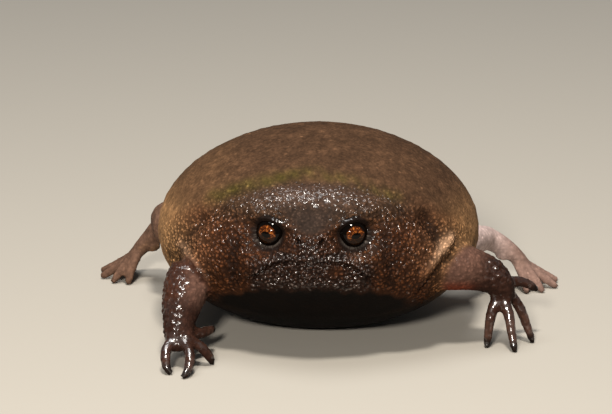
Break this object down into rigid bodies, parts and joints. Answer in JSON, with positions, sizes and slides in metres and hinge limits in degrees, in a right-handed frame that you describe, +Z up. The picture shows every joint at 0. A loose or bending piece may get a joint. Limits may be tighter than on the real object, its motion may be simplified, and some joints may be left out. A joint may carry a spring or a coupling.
{
  "type": "plain rain frog model",
  "caption": "Life-size still model of a plain rain frog, puffed up and resting on its belly, with a blunt face, a down-turned mouth and short splayed limbs.",
  "frame": {"origin": "on the floor under the middle of the belly, on the flat that the frog rests on", "axes": "+Z up, the frog looks along -Y, and its left side is +X"},
  "size_m": [0.0711, 0.0521, 0.0287],
  "materials": {
    "skin": "moist, granular brown skin",
    "limb_skin": "wet, smoother brown-grey skin",
    "foot_skin": "moist, pale pinkish-brown skin",
    "eye": "wet, clear cornea over a copper iris"
  },
  "bodies": {
    "root": {"torso": "skin", "head": "skin", "lower_jaw": "skin", "eye_right": "eye", "eye_left": "eye", "upper_arm_right": "limb_skin", "forearm_right": "limb_skin", "hand_right": "limb_skin", "upper_arm_left": "limb_skin", "forearm_left": "limb_skin", "hand_left": "limb_skin", "thigh_right": "skin", "shank_right": "limb_skin", "foot_right": "foot_skin", "thigh_left": "skin", "shank_left": "limb_skin", "foot_left": "foot_skin"}
  },
  "joints": []
}
